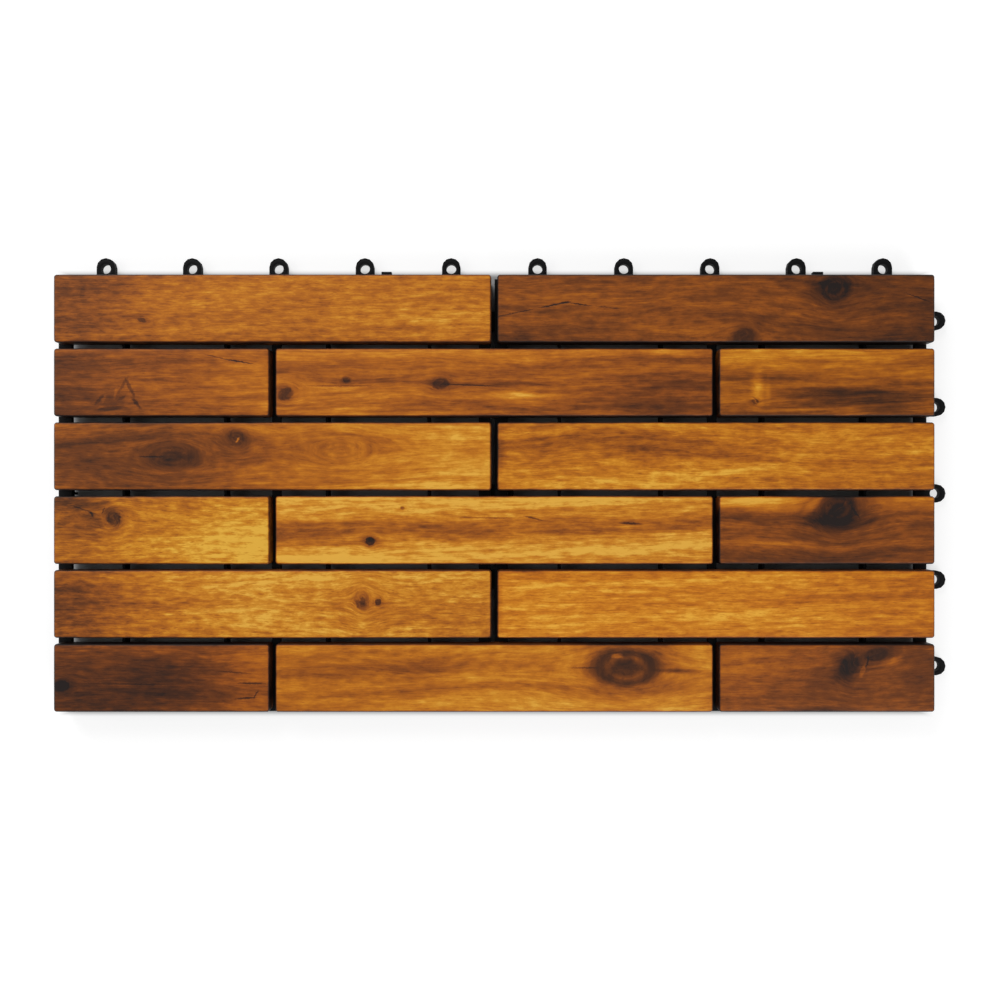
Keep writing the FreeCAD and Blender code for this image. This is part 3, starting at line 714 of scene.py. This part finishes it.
def scatter_tree():
    """Sets a copy of one piece on each point, turned by chance where asked."""
    tree = bpy.data.node_groups.new("set_on_points", "GeometryNodeTree")
    face = tree.interface
    face.new_socket("Geometry", in_out="INPUT", socket_type="NodeSocketGeometry")
    for name, kind in (
        ("Piece", "NodeSocketObject"), ("Size", "NodeSocketFloat"), ("Free turn", "NodeSocketFloat"),
        ("Seed", "NodeSocketInt"), ("Finish", "NodeSocketMaterial"),
    ):
        face.new_socket(name, in_out="INPUT", socket_type=kind)
    face.new_socket("Geometry", in_out="OUTPUT", socket_type="NodeSocketGeometry")
    inp = add(tree, "NodeGroupInput").outputs
    piece = add(tree, "GeometryNodeObjectInfo", {"Object": inp["Piece"]})
    turn = add(tree, "FunctionNodeRandomValue", {3: inp["Free turn"], "Seed": inp["Seed"]}, data_type="FLOAT")
    about = add(tree, "ShaderNodeCombineXYZ", {2: turn.outputs[1]})
    copies = add(tree, "GeometryNodeInstanceOnPoints", {
        "Points": inp["Geometry"], "Instance": piece.outputs["Geometry"], "Rotation": about.outputs[0],
        "Scale": inp["Size"]})
    real = add(tree, "GeometryNodeRealizeInstances", {"Geometry": copies.outputs[0]})
    finish = add(tree, "GeometryNodeSetMaterial", {"Geometry": real.outputs[0], "Material": inp["Finish"]})
    add(tree, "NodeGroupOutput", {0: finish.outputs[0]})
    return tree


SCATTER = scatter_tree()


def set_on(name, places, pattern, material, slot, *nodes, free_turn=0.0, seed=1):
    """Makes one piece of copies of a pattern mesh at the places, in mm."""
    sample = bpy.data.objects.new(name + "_pattern", pattern)
    points = bpy.data.meshes.new(name + "_points")
    points.from_pydata([Vector(p) * MM for p in places], [], [])
    host = bpy.data.objects.new(name + "_host", points)
    bpy.context.scene.collection.objects.link(host)
    modifier = host.modifiers.new("copies", "NODES")
    modifier.node_group = SCATTER
    inputs = {item.name: item.identifier for item in SCATTER.interface.items_tree if item.in_out == "INPUT"}
    for key, value in (("Piece", sample), ("Size", 1.0), ("Free turn", free_turn), ("Seed", seed),
                       ("Finish", material)):
        modifier[inputs[key]] = value
    finished(name, host, slot, *nodes)
    bpy.data.objects.remove(sample)


# The rounded end of each loop, with softened edges round its hole and its rim

GRID_MIDDLES = (-150, 150)             # of the two grids along X, from the cell's middle, in mm
LOOP_LINE = (-120, -60, 0, 60, 120)    # loops along a side, from a grid's middle
HOLE_BEYOND = 156.0                    # from a grid's middle to the middle of a loop's hole
LOOP_PROFILE = [(3.45, 1.5), (3.52, 1.15), (3.8, 0.97), (6.0, 0.97), (6.3, 1.1), (6.43, 1.4), (6.43, 5.1),
                (6.3, 5.4), (6.0, 5.53), (3.8, 5.53), (3.52, 5.35), (3.45, 5.0), (3.45, 1.5)]

loop_places = []
for grid_middle in GRID_MIDDLES:
    for place_along in LOOP_LINE:
        loop_places.append((CELL.x + grid_middle + place_along, CELL.y + HOLE_BEYOND, 0))
        loop_places.append((CELL.x + grid_middle + HOLE_BEYOND, CELL.y + place_along, 0))
set_on("loop_ends", loop_places, lathe("loop_end", LOOP_PROFILE, 48, PLASTIC), PLASTIC, "base")


# Screws: in mm, head down, from the cell's middle

ROW_PITCH = 50
FIRST_ROW = 125
SCREW_X = {
    "odd": [-275, -25, 25, 275],
    "even": [-275, -175, -125, -25, 25, 125, 175, 275],
}
HEAD_LOW, HEAD_HIGH, SCREW_TIP = 6.7, 8.5, 21.0
SHANK_RADIUS = 1.35
RECESS_ARM = 0.42         # half the width of the cross recess
RECESS_REACH = 1.95       # and the length of its arms from the middle
RECESS_DEPTH = 1.1
RECESS_CROWN = 0.45       # how far up the head's crown it cuts
RECESS_OUT = 2.0          # radius at which its sloping ends come out
RECESS_SLOPE = 0.35       # and the length of that slope
THREAD_PITCH = 1.6
THREAD_HEIGHT = 0.42
THREAD_FOOT = 0.5         # of the pitch
THREAD_LOW, THREAD_HIGH = HEAD_HIGH + 0.6, SCREW_TIP - 1.2
SHANK_BARE = 0.3          # below the first ring of the shank
SHANK_TAPER = 1.5         # from the last one to the tip
SHANK_STEPS = 40
HEAD_PROFILE = [(0.15, 0), (0.42, 0), (0.8, 0), (1.2, 0), (1.6, 0.01), (1.85, 0.02), (1.99, 0.03),
                (2.5, 0.12), (3.1, 0.38), (3.5, 0.8), (3.68, 1.3)]


def recess_and_thread(radius, height, angle):
    """Sinks the cross recess into a screw's head, and lifts the thread from its shank."""
    if height <= HEAD_LOW + RECESS_CROWN and radius < RECESS_REACH:
        arm = min(abs(math.sin(angle)), abs(math.cos(angle))) * radius
        if arm < RECESS_ARM:
            return radius, height + RECESS_DEPTH * min(1.0, (RECESS_OUT - radius) / RECESS_SLOPE)
    if THREAD_LOW < height < THREAD_HIGH:
        turn = (height / THREAD_PITCH - angle / (2 * math.pi)) % 1.0
        return radius + THREAD_HEIGHT * max(0.0, 1 - abs(turn - 0.5) * 2 / THREAD_FOOT), height
    return radius, height


def screw_mesh():
    """A pan-head screw, head down, with a cross recess and a coarse thread."""
    head = [(radius, HEAD_LOW + rise) for radius, rise in HEAD_PROFILE]
    head += [(3.7, HEAD_HIGH - 0.02), (SHANK_RADIUS, HEAD_HIGH)]
    shank = [(SHANK_RADIUS, HEAD_HIGH + SHANK_BARE + (SCREW_TIP - SHANK_TAPER - HEAD_HIGH) * k / SHANK_STEPS)
             for k in range(SHANK_STEPS)]
    tip = [(1.0, SCREW_TIP - 0.9), (0.5, SCREW_TIP - 0.3), (0.12, SCREW_TIP)]
    return lathe("pan_head_screw", head + shank + tip, 24, STEEL, recess_and_thread)


SCREW = screw_mesh()
for row in range(1, 7):
    row_y = CELL.y + FIRST_ROW - ROW_PITCH * (row - 1)
    spots = [(CELL.x + x, row_y, 0) for x in SCREW_X["odd" if row % 2 else "even"]]
    set_on(f"row{row}_screws", spots, SCREW, STEEL, "screw", f"screws_row{row}", free_turn=math.tau, seed=row)


# Floor, light and camera, in metres

FLOOR_SIDE = 60.0                # half the floor's width, so wide that it meets the white backdrop
FLOOR_DROP = 0.05 * MM           # keeps it clear of the feet
LIFT_FROM = (0.290, 0.1508, 0)   # the floor turns white this far from the cell's middle, along X and Y
LIFT_RUN = (0.018, 0.006)        # and takes this far to do so
NEAR_LIFT, FAR_LIFT = 0.72, 0.5  # glow beside the tile, and what is added far from the lamps
FAR_FROM, FAR_TO = 0.45, 1.2


def background_rays(tree):
    """1 for the rays that show the background: the camera's, and those that gloss or glass sends on."""
    rays = add(tree, "ShaderNodeLightPath").outputs
    sent_on = add(tree, "ShaderNodeMath", {0: rays["Is Glossy Ray"], 1: rays["Is Transmission Ray"]},
                  operation="MAXIMUM")
    return add(tree, "ShaderNodeMath", {0: rays["Is Camera Ray"], 1: sent_on.outputs[0]},
               operation="MAXIMUM").outputs[0]


def pale_floor():
    """A matt pale grey floor. The eye sees it lifted to white away from the tile, and in shade under it."""
    material, tree = new_material("pale_floor")
    here = add(tree, "ShaderNodeTexCoord").outputs["Object"]
    middle = add(tree, "ShaderNodeVectorMath", {0: here, 1: tuple(-CELL * MM)}, operation="ADD")
    size = add(tree, "ShaderNodeVectorMath", {0: middle.outputs[0]}, operation="ABSOLUTE")
    past = add(tree, "ShaderNodeVectorMath", {0: size.outputs[0], 1: LIFT_FROM}, operation="SUBTRACT")
    parts = add(tree, "ShaderNodeSeparateXYZ", {0: past.outputs[0]})
    rises = [add(tree, "ShaderNodeMapRange", {"Value": parts.outputs[side], "From Max": run,
                                              "To Max": NEAR_LIFT}, interpolation_type="SMOOTHSTEP")
             for side, run in enumerate(LIFT_RUN)]
    lift = add(tree, "ShaderNodeMath", {0: rises[0].outputs[0], 1: rises[1].outputs[0]}, operation="MAXIMUM")
    apart = add(tree, "ShaderNodeVectorMath", {0: middle.outputs[0]}, operation="LENGTH")
    far = add(tree, "ShaderNodeMapRange", {"Value": apart.outputs["Value"], "From Min": FAR_FROM,
                                           "From Max": FAR_TO, "To Max": FAR_LIFT})
    glowing = add(tree, "ShaderNodeMath", {0: lift.outputs[0], 1: far.outputs[0]}, operation="ADD")
    seen = add(tree, "ShaderNodeMath", {0: background_rays(tree), 1: glowing.outputs[0]},
               operation="MULTIPLY")
    matt = add(tree, "ShaderNodeBsdfDiffuse", {"Color": grey(0.42)})
    glow = add(tree, "ShaderNodeEmission", {"Color": grey(1), "Strength": seen.outputs[0]})
    both = add(tree, "ShaderNodeAddShader", {0: matt.outputs[0], 1: glow.outputs[0]})
    add(tree, "ShaderNodeOutputMaterial", {0: both.outputs[0]})
    return material


def white_studio():
    """A white backdrop, whose own light is soft and comes more from the sides than from above."""
    world = bpy.data.worlds.new("studio")
    world.use_nodes = True
    tree = world.node_tree
    tree.nodes.clear()
    here = add(tree, "ShaderNodeTexCoord")
    height = add(tree, "ShaderNodeSeparateXYZ", {0: here.outputs["Generated"]})
    room = add(tree, "ShaderNodeMapRange", {"Value": height.outputs[2], "To Min": 0.60, "To Max": 0.10})
    strength = add(tree, "ShaderNodeMath", {0: room.outputs[0], 1: background_rays(tree)},
                   operation="MAXIMUM")
    backdrop = add(tree, "ShaderNodeBackground", {"Color": grey(1), "Strength": strength.outputs[0]})
    add(tree, "ShaderNodeOutputWorld", {0: backdrop.outputs[0]})
    return world


def softbox(name, place, width, power):
    """A square lamp at a place in metres that shines on the tile."""
    lamp = bpy.data.lights.new(name, "AREA")
    lamp.shape = "SQUARE"
    lamp.size = width
    lamp.energy = power
    obj = bpy.data.objects.new(name, lamp)
    obj.location = place
    obj.rotation_euler = (-Vector(place)).to_track_quat("-Z", "Y").to_euler()
    bpy.context.scene.collection.objects.link(obj)


floor_mesh = bpy.data.meshes.new("floor")
corners = [(-1, -1, 0), (1, -1, 0), (1, 1, 0), (-1, 1, 0)]
floor_mesh.from_pydata([Vector(corner) * FLOOR_SIDE for corner in corners], [], [(0, 1, 2, 3)])
floor_mesh.transform(Matrix.Translation((0, 0, -FLOOR_DROP)))
floor_mesh.materials.append(pale_floor())
floor = bpy.data.objects.new("floor", floor_mesh)
bpy.context.scene.collection.objects.link(floor)
bpy.context.scene.world = white_studio()

# both large lamps stand off the line of the butt gaps, which stay dark
softbox("back_light", (-0.8, 1.5, 1.3), 1.1, 22.3)
softbox("front_light", (0.8, -1.5, 1.3), 1.1, 18.9)
softbox("side_light", (-1.6, 0.2, 1.1), 0.9, 5.2)

CAMERA_ABOVE = 650.0             # mm over the boards' faces
HALF_VIEW = 337.8                # mm that it sees to each side on them
CAMERA_ASIDE = (3.9, -4.6)       # mm from the cell's middle

camera_data = bpy.data.cameras.new("camera")
camera_data.sensor_fit = "HORIZONTAL"
camera_data.angle = 2 * math.atan(HALF_VIEW / CAMERA_ABOVE)
camera_data.clip_start = 0.01
camera = bpy.data.objects.new("camera", camera_data)
camera.location = Vector((CELL.x + CAMERA_ASIDE[0], CELL.y + CAMERA_ASIDE[1], TILE_TOP + CAMERA_ABOVE)) * MM
bpy.context.scene.collection.objects.link(camera)
bpy.context.scene.camera = camera
bpy.context.scene.view_settings.view_transform = "Standard"
